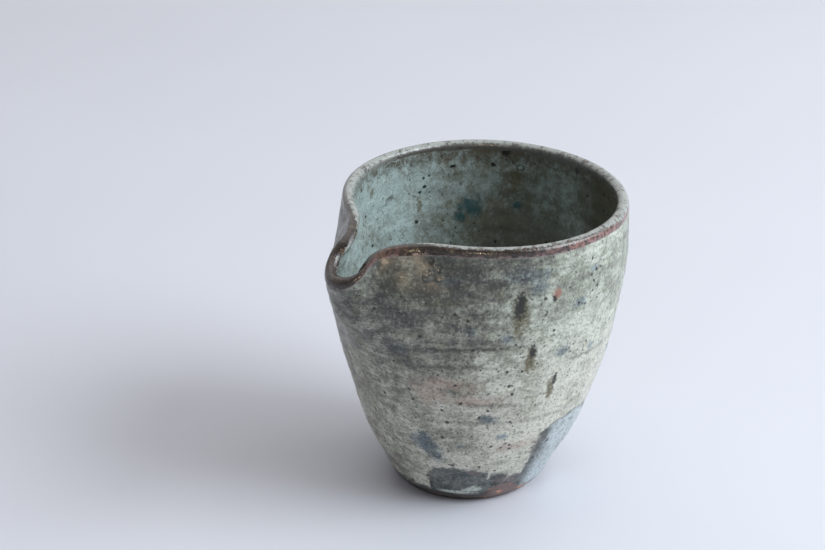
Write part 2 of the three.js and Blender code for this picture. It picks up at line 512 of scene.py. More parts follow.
IRON_RUNS = [
    (59.8, 75.0, 3.2, 8.4), (66.0, 59.4, 2.0, 5.6), (77.4, 47.0, 1.6, 5.8),
    *chance_spots(*HIDDEN_SIDE, 28, 80, (1.0, 2.0), count=6, seed=53),
]
RED_SPOTS = [(73.2, 81.2, 1.7, 2.2), (150, 66, 1.2, 1.2), (236, 52, 1.0, 1.4)]
BLUE_CLOUDS = [
    (55.8, 67.8, 2.8, 2.2), (41.5, 71, 2.6, 2.2), (16, 63.2, 4.2, 2.8),
    (90, 85.8, 2.0, 1.6), (66, 84, 4.0, 2.6), (59.3, 30.8, 2.4, 2.0),
    (34, 86, 5.0, 2.4), (62, 88, 9.0, 3.4), (84, 76, 4.0, 2.2),
    (80, 60, 3.4, 2.4), (20, 27, 5.0, 4.0), (40, 27, 2.0, 1.2),
    (96, 58, 2.0, 1.8),
    *chance_spots(*HIDDEN_SIDE, 22, 86, (1.2, 4.0), count=16, seed=54),
]
DEEP_CLOUDS = [
    (22.5, 29.2, 3.4, 3.2), (24.6, 25.6, 4.4, 4.6), (27.4, 22.0, 3.6, 3.6),
    (51.5, 38.2, 4.0, 2.6), (210, 40, 4, 3), (284, 30, 4, 3),
]
BLUSHES = [
    (28, 47.5, 8.0, 5.4), (33, 51.5, 11, 3.4), (45, 45.5, 10, 2.8),
    (66, 26, 9.0, 2.8), (176, 58, 12, 6), (262, 44, 9, 5),
]
BROWN_PATCHES = [(49, 15.0, 3.0, 1.6), (70, 9.6, 4.6, 2.4), (196, 14, 4, 3), (300, 17, 3, 3)]
CHALK_PATCHES = [(37.4, 5.1, 7.6, 0.8), (49.5, 6.8, 2.8, 1.6), (45.5, 6.2, 2.2, 1.0), (240, 7, 6, 1)]
BLISTERS = [
    (25.6, 88.2, 1.9, 2.4), (28.4, 90.2, 1.8, 1.5), (30.0, 87.0, 1.9, 1.2),
    (33.8, 88.2, 1.5, 1.2),
]
BLISTER_LEVEL = 88.4 * MM
BLISTER_SLOPE = 0.08  # how steeply the blisters under the rim lean back
BLISTER_RELIEF = 0.26
PALE_AND_SHEEN_SIDE = 112  # where the glaze is palest, towards the window: partly its own tone, partly painted sheen
PALE_REACH = (68, 78)  # its reach to either hand, at the rim and below
PALE_FADE = 31
DARK_SIDE = -4
PALE_AND_SHEEN_UNDER_SPOUT = 4  # where the glaze under the spout is pale: partly painted sheen
# Where the broad wiped patch is pale, towards the window: partly painted sheen.
WIPED_PALE_LIT_SIDE = 108
OUTER_SPOTS = {
    "iron": IRON_SPOTS, "cloud": IRON_CLOUDS, "run": IRON_RUNS, "red": RED_SPOTS,
    "blue": BLUE_CLOUDS, "deep": DEEP_CLOUDS, "blush": BLUSHES,
    "brown": BROWN_PATCHES, "chalk": CHALK_PATCHES, "blister": BLISTERS,
}
OUTER_MARKS = ("slip", *OUTER_SPOTS, "line", "bead", "pale", "wiped")


def paleness_and_sheen(angle, height):
    """How pale the glaze over the slip is: dark below the rim and near the spout, creamy lower down.
    The paler glaze towards the window and just under the spout is partly painted sheen.
    """
    depth = LIP_HEIGHT - height
    fallen = smooth_step(depth, 6, 60)
    reach = PALE_REACH[0] + (PALE_REACH[1] - PALE_REACH[0]) * smooth_step(depth, 4, 18)
    # Paler on the side towards the window: partly the glaze's tone, partly painted sheen.
    turned = near(angle, PALE_AND_SHEEN_SIDE, reach - PALE_FADE, reach) * (0.68 - 0.45 * fallen)
    left = near(angle, DARK_SIDE, 12, 34)
    # Paler just under the spout: partly painted sheen.
    under_spout = near(angle, PALE_AND_SHEEN_UNDER_SPOUT, 8, 30) * smooth_step(height, 66, 84)
    chance = 0.08 * ripple(angle, height, seed=91, waves=12, pitch=30)
    return 0.06 + 0.66 * fallen + turned + 0.24 * under_spout - 0.07 * left + chance


def wiped_paleness(angle):
    """The wiped patches are dark, but for the broad one at the palest side, whose paleness is partly
    painted sheen.
    """
    return near(angle, WIPED_PALE_LIT_SIDE, 16, 28)


def outer_marks(angle, height):
    """The marks, in the order of OUTER_MARKS."""
    return (
        above_slip_edge(angle, height),
        *[spots_at(angle, height, places) for places in OUTER_SPOTS.values()],
        lines_at(angle, height, LINE_STAIN),
        lip_edge_outside(angle) - height,
        paleness_and_sheen(angle, height),
        wiped_paleness(angle) + 0 * height,
    )


TEAL_CLOUDS = [
    (-131.2, 73.5, 5.2, 4.4), (-126, 70.5, 3.0, 2.4), (-152, 75.2, 2.2, 1.8),
    (40, 52, 4, 3), (-30, 60, 3, 2.4),
]
INSIDE_SPOTS = [
    (-121.8, 88.5, 1.2, 1.0), (-107, 80.6, 0.9, 0.9), (-126.8, 76.8, 0.6, 0.6),
    (-139.5, 88.8, 1.3, 1.0), (-86.5, 82.2, 0.5, 0.8), (-145.2, 94, 2.0, 2.4),
    (-67.5, 90.5, 0.6, 1.2), (178, 93, 1.5, 1.4),
    *chance_spots(-80, 130, 30, 90, (0.4, 1.1), count=14, seed=61),
]
INSIDE_RUNS = [
    (-106.8, 76, 1.2, 4.6), (-78, 86, 1.4, 2.4), (-150, 84, 2.4, 5.0),
    *chance_spots(-60, 120, 50, 86, (0.8, 1.6), count=4, seed=62),
]
RING_SPOTS = [(-151.8, 88.8, 2.0, 1.4)]
INSIDE_LIT_SIDE = -78  # where the inside is palest: painted light where the window shines on the inner wall
SHADED_HOLLOW = 145  # where the inside is darkest, below the rim: painted shade on the inner wall turned from the window
INNER_SPOTS = {"teal": TEAL_CLOUDS, "iron": INSIDE_SPOTS, "run": INSIDE_RUNS, "ring": RING_SPOTS}
INNER_MARKS = (*INNER_SPOTS, "rim", "pale")


def inside_tone_and_painted_light(angle, height):
    """How pale the inside is: palest left of the spout, dark on the far right. These are painted light
    and shade from the window on the right, and the pale spout channel is partly painted reflection.
    """
    turned = near(angle, INSIDE_LIT_SIDE, 16, 64)
    painted_shade = near(angle, SHADED_HOLLOW, 17, 25)
    low = smooth_step(LIP_HEIGHT - height, 0, 30)
    # Pale in the spout's channel: partly painted reflection.
    channel = near(angle, 0, 10, 30) * smooth_step(height, 62, 84)
    chance = 0.06 * ripple(angle, height, seed=92, waves=12, pitch=26)
    return 0.52 + 0.48 * np.maximum(turned, channel) - 0.54 * painted_shade - 0.1 * low + chance


def inner_marks(angle, height):
    """The marks, in the order of INNER_MARKS."""
    spots = [spots_at(angle, height, places) for places in INNER_SPOTS.values()]
    return *spots, LIP_HEIGHT - height, inside_tone_and_painted_light(angle, height)


# Pieces.


THINNEST = 0.45  # share of the glaze's thickness at its lower edge
THINNED_HEIGHT = 2.5


def outer_coat():
    """The outer glaze, from the bare foot up to the lip's brown."""
    low = glaze_edge(ANGLES)
    angle, height = rows_between(low, lip_edge_outside(ANGLES), OUTER_ROWS, OUTER_CROWDING)
    thinned = smooth_step(height - low, 0, THINNED_HEIGHT)
    lift = outside_lift(angle, height) * (THINNEST + (1 - THINNEST) * thinned)
    top = ring_stack(on_outside(angle, height, lift), *outer_marks(angle, height))
    under = hidden_rings(on_outside, lip_edge_outside(ANGLES), low, HIDDEN_ROWS, 0, outer_marks)
    return add_mesh("outer_glaze_coat", [*top, *under], OUTER_MARKS)


# Turn over the lip, turn past the brown's edge, copper that is partly painted highlight, far side,
# height above the band's edge.
LIP_MARKS = ("turn", "warm", "copper_and_highlight", "far", "above")
LIP_UNEVEN = 0.06
LIP_CLEARANCE = 0.03  # keeps the uneven lip within the even solid


def lip_coat():
    """The lip's band: up the outside, over the round and down a little way inside."""
    angle, height = rows_between(lip_edge_outside(ANGLES), LIP_HEIGHT, LIP_EDGE_ROWS)
    marks = lip_marks(angle, (height - LIP_HEIGHT) / (WALL / 2))
    rings = ring_stack(on_outside(angle, height, outside_lift(angle, height)), *marks)
    angle, turn = lip_turns(0, np.pi, LIP_ROUND_ROWS)
    share = turn / np.pi
    top = np.full(AROUND, LIP_HEIGHT)
    lift = (1 - share) * outside_lift(ANGLES, top) + share * inside_lift(ANGLES, top)
    lift = lift + LIP_UNEVEN * np.sin(turn) * ripple(angle, turn * 6, seed=71)
    lift = np.minimum(lift, GLAZE - LIP_CLEARANCE)
    rings += ring_stack(on_lip(angle, turn, lift), *lip_marks(angle, turn))
    angle, height = rows_between(LIP_HEIGHT, lip_edge_inside(ANGLES), LIP_INSIDE_ROWS)
    marks = lip_marks(angle, np.pi + (LIP_HEIGHT - height) / (WALL / 2))
    rings += ring_stack(on_inside(angle, height, inside_lift(angle, height)), *marks)
    angle, height = rows_between(lip_edge_inside(ANGLES), LIP_HEIGHT, LIP_UNDER_ROWS)
    rings += ring_stack(on_inside(angle, height, 0), *lip_marks(angle, np.pi + 0 * height))
    angle, turn = lip_turns(np.pi, 0, LIP_ROUND_ROWS // 2)
    rings += ring_stack(on_lip(angle, turn, 0), *lip_marks(angle, turn))
    angle, height = rows_between(LIP_HEIGHT, lip_edge_outside(ANGLES), LIP_UNDER_ROWS)
    rings += ring_stack(on_outside(angle, height, 0), *lip_marks(angle, 0 * height))
    return add_mesh("lip_glaze_band", rings, LIP_MARKS)


# Where the lip turns to copper, partly painted highlight, most of all at the spout: [angle, half width,
# share].
COPPER_AND_HIGHLIGHT_ZONES = [(104, 48, 1.0), (13, 6, 0.4)]


def lip_marks(angle, turn):
    """The marks, in the order of LIP_MARKS."""
    spout = near(angle, 0, 11, 21)
    far = smooth_step(np.abs(around(angle, 10)), 70, 120)
    reach = np.radians(63 + 6 * wander(angle, seed=72, most_turns=16) + 80 * spout - 60 * far)
    copper_and_highlight = np.zeros(angle.shape)
    for middle, half_width, share in COPPER_AND_HIGHLIGHT_ZONES:
        copper_and_highlight = np.maximum(copper_and_highlight, share * near(angle, middle, 0.4 * half_width, half_width))
    above = LIP_HEIGHT - lip_edge_outside(angle) + turn * WALL / 2
    return turn, turn - reach, copper_and_highlight + 0 * turn, far + 0 * turn, above


CENTRE_PALENESS = 0.4
CENTRE_MARKS = (*[NOT_THERE] * len(INNER_SPOTS), LIP_HEIGHT, CENTRE_PALENESS)


def rounded_floor(edge, floor, turns, marks, relief=0.0):
    """Rings that run from the foot of the inside wall round to the middle of the floor."""
    rings = []
    for turn in turns:
        x, y = (edge[:, :2] * math.cos(turn)).T
        level = floor + (edge[:, 2] - floor) * (1 - math.sin(turn))
        level = level + relief * floor_spiral(ANGLES, np.hypot(x, y))
        rings += ring_stack(np.stack([x, y, level], -1)[None], *marks(ANGLES, level - 1))
    return rings


def inner_coat():
    """The inner glaze, from the lip's brown down and across the floor."""
    bottom = FLOOR + FLOOR_ROUND
    angle, height = rows_between(lip_edge_inside(ANGLES), bottom, INNER_ROWS)
    wall = on_inside(angle, height, inside_lift(angle, height))
    rings = ring_stack(wall, *inner_marks(angle, height))
    turns = np.linspace(0, np.pi / 2, FLOOR_ROWS + 1)[1:-1]
    rings += rounded_floor(wall[-1], FLOOR, turns, inner_marks, relief=1.0)
    rings.append(centre_ring(FLOOR + floor_spiral(0, 0), CENTRE_MARKS))
    rings.append(centre_ring(FLOOR - GLAZE, CENTRE_MARKS))
    edge = on_inside(ANGLES, np.full(AROUND, bottom), 0)
    turns = np.linspace(np.pi / 2, 0, HIDDEN_ROWS + 1)[1:-1]
    rings += rounded_floor(edge, FLOOR - GLAZE, turns, inner_marks)
    rings += hidden_rings(on_inside, bottom, lip_edge_inside(ANGLES), HIDDEN_ROWS, 0, inner_marks)
    return add_mesh("inner_glaze_coat", rings, INNER_MARKS)


SPIRAL_PITCH = 6.5
SPIRAL_DEPTH = 0.28
BUTTON_HEIGHT = 0.35
BUTTON_RADIUS = 4


def floor_spiral(angle, radius):
    """The finger's spiral on the floor, which runs out from a low button in the middle."""
    phase = 2 * np.pi * radius / SPIRAL_PITCH - angle
    fade = smooth_step(radius, 2, 6) * smooth_step(-radius, -30, -18)
    return SPIRAL_DEPTH * np.cos(phase) * fade + BUTTON_HEIGHT * smooth_bump(radius / BUTTON_RADIUS)


CLAY_MARKS = ("warm",)
BASE_WARMTH = 0.4
BASE_ROUND = 0.06  # share of the base over which its ridges rise
PINK_CLAY_SIDE = 80  # where the bare clay is pink; it is darker round the rest of the foot, the left side included
FOOT_ROUND = 1.1
UNDER_GLAZE = 0.04  # how far the hidden clay lies below its glaze
OVERLAP = 1.5  # how far the clay's fine surface runs up under the glaze
CLAY_GRAIN = 0.05
CLAY_INSET = 0.08


def no_warmth(angle, height):
    return (0,)


def clay_body():
    """The clay: its foot and base show, and the rest lies under the glaze."""
    rings = []
    warm = near(ANGLES, PINK_CLAY_SIDE, 14, 29)
    for share in np.linspace(0, 1, FOOT_ROUND_ROWS + 1)[:-1]:
        rise = FOOT_ROUND * (1 - math.cos(share * np.pi / 2))
        drawn_in = FOOT_ROUND * (1 - math.sin(share * np.pi / 2))
        points = on_outside(ANGLES, np.full(AROUND, rise), -drawn_in)
        points[:, 2] = rise
        rings += ring_stack(points[None], warm)
    bare_top = glaze_edge(ANGLES) + OVERLAP
    angle, height = rows_between(FOOT_ROUND, bare_top, FOOT_ROWS)
    grain = CLAY_GRAIN * ripple(angle, height, seed=81, waves=20, pitch=2.5) - CLAY_INSET
    rings += ring_stack(on_outside(angle, height, grain), warm)
    hidden = (HIDDEN_ROWS * 2, -UNDER_GLAZE, no_warmth)
    rings += hidden_rings(on_outside, bare_top, LIP_HEIGHT, *hidden)[1:]
    rings += ring_stack(on_lip(*lip_turns(0, np.pi, LIP_ROUND_ROWS // 2), -UNDER_GLAZE), 0)
    bottom = FLOOR + FLOOR_ROUND
    rings += hidden_rings(on_inside, LIP_HEIGHT, bottom, *hidden)
    edge = on_inside(ANGLES, np.full(AROUND, bottom), -UNDER_GLAZE)
    floor = FLOOR - GLAZE - UNDER_GLAZE
    turns = np.linspace(0, np.pi / 2, HIDDEN_ROWS + 1)[1:-1]
    rings += rounded_floor(edge, floor, turns, no_warmth)
    rings.append(centre_ring(floor, (0,)))
    rings.append(centre_ring(base_cut(0.0, 0.0), (BASE_WARMTH,)))
    first = rings[0]
    for share in np.linspace(0, 1, BASE_ROWS + 1)[1:-1]:
        x = first[:, 0] * share
        y = first[:, 1] * share
        points = np.stack([x, y, base_cut(x, y) * smooth_step(1 - share, 0, BASE_ROUND)], -1)
        rings += ring_stack(points[None], BASE_WARMTH + (warm - BASE_WARMTH) * share**4)
    return add_mesh("clay_body_thrown", rings, CLAY_MARKS, 60)


CUT_CENTRE = (-9, 14)  # where the arcs of the cutting string start from, off the foot's centre
CUT_PITCH = 2.3
CUT_DEPTH = 0.22
CUT_CLEARANCE = 0.1


def base_cut(x, y):
    """The shell-shaped ridges that the cutting string leaves on the base, none below the table."""
    radius = np.hypot(x - CUT_CENTRE[0], y - CUT_CENTRE[1])
    ridges = 0.5 + 0.5 * np.cos(2 * np.pi * radius / CUT_PITCH)
    return CUT_DEPTH * ridges + CUT_CLEARANCE


# Materials.


def srgb(red, green, blue):
    """A colour as a picture shows it, 0 to 255, turned into light."""
    channels = np.array([red, green, blue]) / 255
    linear = np.where(channels > 0.04045, ((channels + 0.055) / 1.055) ** 2.4, channels / 12.92)
    return (*linear.tolist(), 1)


NOISE_RANGE = (0.3, 0.7)
GLASS_IOR = 1.5
LIP_IOR = 1.7  # the lip's iron-rich glaze shines more


class Look:
    """A material and short ways to add nodes to it. Sizes are in millimetres."""

    def __init__(self, name):
        self.material = bpy.data.materials.new(name)
        self.material.use_nodes = True
        self.tree = self.material.node_tree
        self.shader = self.tree.nodes["Principled BSDF"]
        self.place = self.tree.nodes.new("ShaderNodeTexCoord").outputs["Object"]

    def put(self, socket, value):
        if isinstance(value, bpy.types.NodeSocket):
            self.tree.links.new(value, socket)
        else:
            socket.default_value = value

    def node(self, kind, inputs, **settings):
        node = self.tree.nodes.new(kind)
        for key, setting in settings.items():
            setattr(node, key, setting)
        for key, value in inputs.items():
            self.put(node.inputs[key], value)
        return node

    def mark(self, name):
        return self.node("ShaderNodeAttribute", {}, attribute_name=name).outputs["Fac"]

    def stretched(self, across=1.0, along=1.0):
        """The place with features made wider around the bowl, or taller up it."""
        scale = (1 / across, 1 / across, 1 / along)
        inputs = {0: self.place, 1: scale}
        return self.node("ShaderNodeVectorMath", inputs, operation="MULTIPLY").outputs[0]

    def noise(self, size, detail=3.0, rough=0.5, along=1.0, warp=0.0):
        inputs = {
            "Vector": self.stretched(along=along),
            "Scale": 1 / (size * MM),
            "Detail": detail,
            "Roughness": rough,
            "Distortion": warp,
        }
        return self.node("ShaderNodeTexNoise", inputs).outputs["Fac"]

    def cells(self, size, feature="F1", across=1.0, place=None):
        inputs = {"Vector": place or self.stretched(across), "Scale": 1 / (size * MM)}
        return self.node("ShaderNodeTexVoronoi", inputs, feature=feature)

    def span(self, value, low, high, to_low=0.0, to_high=1.0):
        """The value's way from low to high, spread smoothly from to_low to to_high."""
        inputs = {0: value, 1: low, 2: high, 3: to_low, 4: to_high}
        return self.node("ShaderNodeMapRange", inputs, interpolation_type="SMOOTHSTEP").outputs[0]

    def maths(self, operation, first, second):
        return self.node("ShaderNodeMath", {0: first, 1: second}, operation=operation).outputs[0]

    def sum(self, first, second):
        return self.maths("ADD", first, second)

    def times(self, first, second):
        return self.maths("MULTIPLY", first, second)

    def most(self, first, second):
        return self.maths("MAXIMUM", first, second)

    def from_noise(self, noise, low, high):
        """A noise's usual range spread from low to high."""
        return self.span(noise, *NOISE_RANGE, low, high)

    def mix(self, share, first, second, blend="MIX"):
        settings = {"data_type": "RGBA", "blend_type": blend}
        return self.node("ShaderNodeMix", {0: share, 6: first, 7: second}, **settings).outputs[2]

    def ramp(self, value, *stops):
        """A colour that runs through the stops: (place, colour), from the first to the last."""
        node = self.node("ShaderNodeValToRGB", {0: value})
        points = node.color_ramp.elements
        while len(points) < len(stops):
            points.new(0.5)
        for point, (at, colour) in zip(points, stops):
            point.position = at
            point.color = colour
        return node.outputs["Color"]

    def jagged(self, size, reach):
        """The place pushed about by chance, which makes edges ragged."""
        inputs = {"Vector": self.place, "Scale": 1 / (size * MM), "Detail": 2.0}
        noise = self.node("ShaderNodeTexNoise", inputs)
        inputs = {0: noise.outputs["Color"], 1: (reach * MM,) * 3, 2: self.place}
        return self.node("ShaderNodeVectorMath", inputs, operation="MULTIPLY_ADD").outputs[0]

    def specks(self, size, radius, share):
        """Small dark ragged grains: one in some cells, of chance size."""
        cells = self.cells(size, place=self.jagged(0.5, 0.9))
        chance = self.node("ShaderNodeSeparateColor", {0: cells.outputs["Color"]}).outputs[0]
        reach = self.span(chance, 1 - share, 1, 0.0, radius / size)
        inside = self.maths("SUBTRACT", reach, cells.outputs["Distance"])
        return self.span(inside, -0.02, 0.06)

    def stain(self, base, mark, colour, size, bite, strength=1.0, full=0.55, blend="MIX"):
        """Colours a mark's area, which fades out from its middle, with an uneven edge."""
        uneven = self.from_noise(self.noise(size, 5.0, 0.7), -bite, bite)
        area = self.span(self.sum(self.mark(mark), uneven), -0.1, full, 0.0, strength)
        return self.mix(area, base, colour, blend)

    def bump(self, height, depth, normal=None):
        """The normal of a relief, on top of another relief's normal if there is one."""
        inputs = {"Height": height, "Distance": depth * MM}
        if normal is not None:
            inputs["Normal"] = normal
        return self.node("ShaderNodeBump", inputs).outputs["Normal"]

    def coat(self, colour, rough, normal=None, ior=GLASS_IOR):
        """Fills the shader's own sockets."""
        sockets = {"Base Color": colour, "Roughness": rough, "IOR": ior}
        if normal is not None:
            sockets["Normal"] = normal
        for name, value in sockets.items():
            self.put(self.shader.inputs[name], value)
        return self.material


GLAZE_DARK = srgb(78, 78, 73)
GLAZE_GREY = srgb(121, 119, 110)
GLAZE_OLIVE = srgb(164, 164, 150)
GLAZE_CREAM = srgb(212, 212, 199)
GLAZE_COOL_SHEEN = srgb(244, 252, 252)
MOSS = srgb(122, 128, 92)
WIPED_DARK = srgb(62, 70, 74)
WIPED_GREY = srgb(112, 116, 112)
# Partly painted sheen.
WIPED_PALE_AND_SHEEN = srgb(186, 198, 202)
WIPED_GREEN = srgb(106, 120, 110)
SLIP_RIM = srgb(62, 64, 62)
BROWN_STAIN = srgb(108, 92, 90)
CHALK = srgb(196, 204, 194)
LINE_BROWN = srgb(66, 66, 58)
GRAIN_DARK = srgb(50, 50, 44)
GRAIN_PALE = srgb(218, 220, 210)
IRON = srgb(34, 33, 30)
IRON_SMOKE = srgb(60, 62, 60)
RUN_OCHRE = srgb(96, 88, 58)
COPPER_RED = srgb(156, 112, 98)
BLUE_GREY = srgb(78, 94, 104)
BLUE_VEIL = srgb(186, 198, 218)
BLUSH = srgb(182, 158, 146)
BEAD_PINK = srgb(140, 122, 122)
INSIDE_DARK = srgb(94, 92, 78)
INSIDE_GREY = srgb(112, 115, 105)
INSIDE_PALE = srgb(178, 196, 196)
INSIDE_STAIN = srgb(86, 76, 62)
TEAL = srgb(46, 84, 90)
CRACK_PALE = srgb(200, 214, 212)
CRACK_DARK = srgb(70, 78, 76)
LIP_DEEP = srgb(30, 21, 16)
LIP_BROWN = srgb(68, 45, 36)
LIP_OCHRE = srgb(116, 102, 76)
LIP_COPPER_AND_HIGHLIGHT = srgb(150, 108, 100)
LIP_PALE = srgb(160, 166, 162)
LIP_MOTTLE = srgb(74, 68, 64)
CLAY_BROWN = srgb(100, 84, 79)
CLAY_DARK = srgb(52, 43, 38)
CLAY_PALE = srgb(122, 104, 100)
CLAY_COPPER_GLINT = srgb(206, 150, 122)


def over_slip(look):
    """The glaze over the slip: its tone runs from dark through grey and olive to cream."""
    clouds = look.span(look.noise(18, 3.0), 0.32, 0.68, -0.13, 0.13)
    brushed = look.span(look.noise(7, 4.0, 0.6, along=0.3, warp=0.3), 0.34, 0.66, -0.16, 0.16)
    patches = look.span(look.noise(5.0, 6.0, 0.84), 0.36, 0.64, -0.28, 0.28)
    calmer = look.span(look.mark("pale"), 0.5, 0.9, 1.0, 0.62)
    broken = look.times(look.sum(brushed, patches), calmer)
    # The pale mark carries painted sheen as well as the glaze's tone.
    tone = look.sum(look.sum(look.mark("pale"), clouds), broken)
    stops = (0.0, GLAZE_DARK), (0.32, GLAZE_GREY), (0.66, GLAZE_OLIVE), (1.0, GLAZE_CREAM)
    base = look.ramp(tone, *stops)
    # Painted cool sheen: a faint cool tint that grows towards the lip.
    cool_sheen = look.span(look.mark("bead"), 55.0, 8.0)
    base = look.mix(cool_sheen, base, GLAZE_COOL_SHEEN, "MULTIPLY")
    moss = look.span(look.noise(6.0, 4.0, 0.6), 0.54, 0.7, 0.0, 0.3)
    base = look.mix(moss, base, MOSS)
    base = look.stain(base, "blush", BLUSH, 4.0, 0.35, 0.6, 0.8)
    base = look.stain(base, "blue", BLUE_VEIL, 2.4, 0.25, full=0.8, blend="MULTIPLY")
    return look.stain(base, "deep", BLUE_GREY, 2.4, 0.3, 0.9, 0.8)


def over_clay(look):
    """The glaze where the slip was wiped off: smeared and dark, or glassy and pale, the pale partly
    painted sheen.
    """
    smeared = look.mix(look.span(look.noise(4.0, 5.0, 0.75), 0.4, 0.62), WIPED_DARK, WIPED_GREY)
    greener = look.span(look.noise(3.0, 5.0, 0.7), 0.48, 0.66, 0.0, 0.6)
    base = look.mix(look.mark("wiped"), smeared, look.mix(greener, WIPED_PALE_AND_SHEEN, WIPED_GREEN))
    return look.stain(base, "brown", BROWN_STAIN, 1.6, 0.4, 0.85)


def stained(look, base):
    """Lines, runs, iron and grain in the outer glaze, and the pink along the ridge below the lip."""
    line = look.times(look.mark("line"), look.span(look.noise(2.2, 3.0), 0.35, 0.6, 0.2, 0.95))
    base = look.mix(line, base, LINE_BROWN)
    base = look.stain(base, "run", RUN_OCHRE, 1.5, 0.3, 0.85)
    base = look.stain(base, "cloud", IRON_SMOKE, 1.4, 0.45, 0.8)
    grain = look.noise(0.9, 4.0, 0.85)
    base = look.mix(look.span(grain, 0.49, 0.64, 0.0, 0.66), base, GRAIN_DARK)
    base = look.mix(look.span(grain, 0.46, 0.32, 0.0, 0.3), base, GRAIN_PALE)
    base = look.stain(base, "red", COPPER_RED, 0.9, 0.3, 0.9)
    base = look.stain(base, "iron", IRON, 0.9, 0.3, full=0.7)
    bead = look.span(look.mark("bead"), 0.4, 0.05)
    bead = look.times(bead, look.span(look.noise(2.4, 3.0, 0.6), 0.42, 0.58, 0.0, 0.75))
    base = look.mix(bead, base, BEAD_PINK)
    small = look.times(look.specks(1.4, 0.42, 0.6), 0.8)
    specks = look.most(look.specks(2.6, 0.66, 0.4), small)
    return look.mix(look.times(specks, 0.92), base, IRON)


def blistered(look, blister, normal):
    """Popped blisters under the rim: uneven and leaning back, so that the bulb glints in them."""
    up = look.node("ShaderNodeSeparateXYZ", {0: look.place}).outputs[2]
    ledge = look.times(look.sum(up, -BLISTER_LEVEL), -BLISTER_SLOPE / MM)
    uneven = look.times(look.noise(1.1, 2.0, 0.5), BLISTER_RELIEF)
    return look.bump(look.times(look.sum(ledge, uneven), blister), 1.0, normal)


def outer_look():
    look = Look("grey-green glaze over slip")
    edge = look.sum(look.mark("slip"), look.from_noise(look.noise(3.4, 3.0, 0.5), -0.7, 0.7))
    base = look.mix(look.span(edge, 0.8, -0.8), over_slip(look), over_clay(look))
    rim_of_slip = look.times(look.span(edge, -1.6, 0.0), look.span(edge, 0.7, 0.1))
    base = look.mix(look.times(rim_of_slip, 0.5), base, SLIP_RIM)
    base = look.stain(base, "chalk", CHALK, 1.2, 0.2, 0.9)
    blister = look.span(look.mark("blister"), 0.0, 0.6)
    rough = look.from_noise(look.noise(3.0, 4.0), 0.26, 0.44)
    rough = look.sum(rough, look.times(blister, -0.3))
    fine = look.bump(look.noise(0.8, 3.0, 0.6), 0.04)
    wide = look.bump(look.noise(4.0, 2.0, 0.5, along=0.5), 0.12, fine)
    return look.coat(stained(look, base), rough, blistered(look, blister, wide))


def crackled(look, base):
    """A pale net of cracks where the inside is pale, and a wider net of dark hairs."""
    net = look.cells(2.6, "DISTANCE_TO_EDGE").outputs["Distance"]
    net = look.times(look.span(net, 0.07, 0.0, 0.0, 0.75), look.span(look.noise(6.0), 0.42, 0.6))
    base = look.mix(look.times(net, look.span(look.mark("pale"), 0.5, 1.0)), base, CRACK_PALE)
    net = look.cells(3.6, "DISTANCE_TO_EDGE", across=1.2).outputs["Distance"]
    net = look.times(look.span(net, 0.035, 0.0, 0.0, 0.7), look.span(look.noise(5.0), 0.48, 0.62))
    return look.mix(look.times(net, look.span(look.mark("pale"), 0.3, 0.9)), base, CRACK_DARK)


def inner_look():
    look = Look("pale celadon glaze")
    clouds = look.span(look.noise(14, 4.0, 0.6), 0.34, 0.66, -0.13, 0.13)
    patches = look.span(look.noise(4.0, 6.0, 0.82), 0.36, 0.64, -0.2, 0.2)
    # The pale mark carries painted light and shade as well as the glaze's tone.
    tone = look.sum(look.mark("pale"), look.sum(clouds, patches))
    base = look.ramp(tone, (0.0, INSIDE_DARK), (0.42, INSIDE_GREY), (1.0, INSIDE_PALE))
    mottles = look.sum(look.mark("rim"), look.times(look.noise(3.0, 5.0, 0.75), -30))
    base = look.mix(look.span(mottles, -15.0, -7.0, 0.8, 0.0), base, INSIDE_STAIN)
    base = look.stain(base, "teal", TEAL, 2.6, 0.3, 0.95, 0.6)
    base = look.stain(base, "run", RUN_OCHRE, 1.4, 0.4, 0.75)
    ring = look.times(look.span(look.mark("ring"), 0.0, 0.25), look.span(look.mark("ring"), 0.6, 0.35))
    base = crackled(look, look.mix(look.times(ring, 0.7), base, IRON))
    grain = look.span(look.noise(0.8, 4.0, 0.82), 0.48, 0.66, 0.0, 0.5)
    base = look.mix(grain, base, INSIDE_DARK)
    base = look.stain(base, "iron", IRON, 0.8, 0.35)
    small = look.times(look.specks(1.8, 0.42, 0.5), 0.75)
    specks = look.most(small, look.specks(3.2, 0.75, 0.42))
    base = look.mix(look.times(specks, 0.9), base, IRON)
    rough = look.from_noise(look.noise(3.0, 3.0), 0.12, 0.28)
    return look.coat(base, rough, look.bump(look.noise(3.5, 2.0), 0.1))


